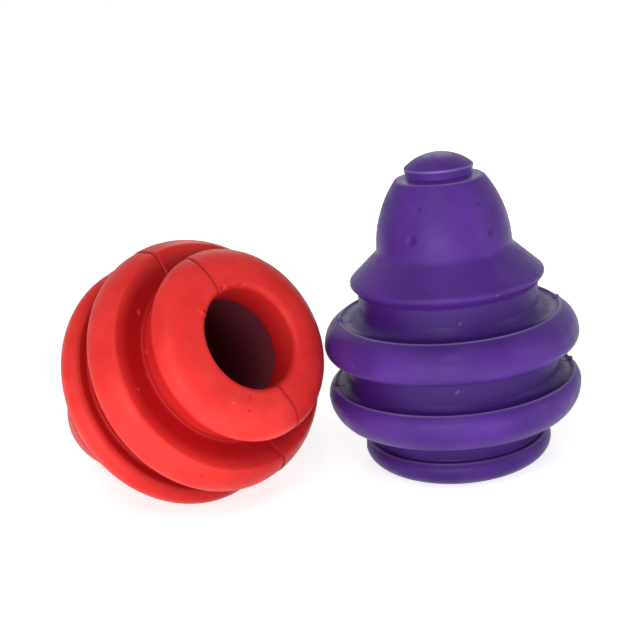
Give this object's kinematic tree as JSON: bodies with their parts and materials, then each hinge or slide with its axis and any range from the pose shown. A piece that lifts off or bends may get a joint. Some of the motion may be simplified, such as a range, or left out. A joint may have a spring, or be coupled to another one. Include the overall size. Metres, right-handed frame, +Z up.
{
  "type": "rubber chew toy",
  "caption": "Hollow ribbed rubber chew toy with a round treat mouth in its base and a small cap on its nose, shown standing and lying beside its twin in another colour.",
  "frame": {"origin": "centre of the standing purple toy's mouth, in the plane of its flat foot ring, on the floor", "axes": "+Z up the purple toy's axis to its nose, -Y to the front, where the red toy's mouth looks, and +X to the right, away from the red toy"},
  "size_m": [0.1373, 0.0715, 0.0808],
  "materials": {
    "purple_rubber": "satin",
    "red_rubber": "satin"
  },
  "bodies": {
    "purple_toy": {"purple_chew_toy": "purple_rubber"},
    "red_toy": {"red_chew_toy": "red_rubber"}
  },
  "joints": [
    {"name": "red_toy_lift", "type": "slide", "parent": "purple_toy", "child": "red_toy", "axis": [0, 0, 1], "range_m": [0, 0.12]}
  ]
}
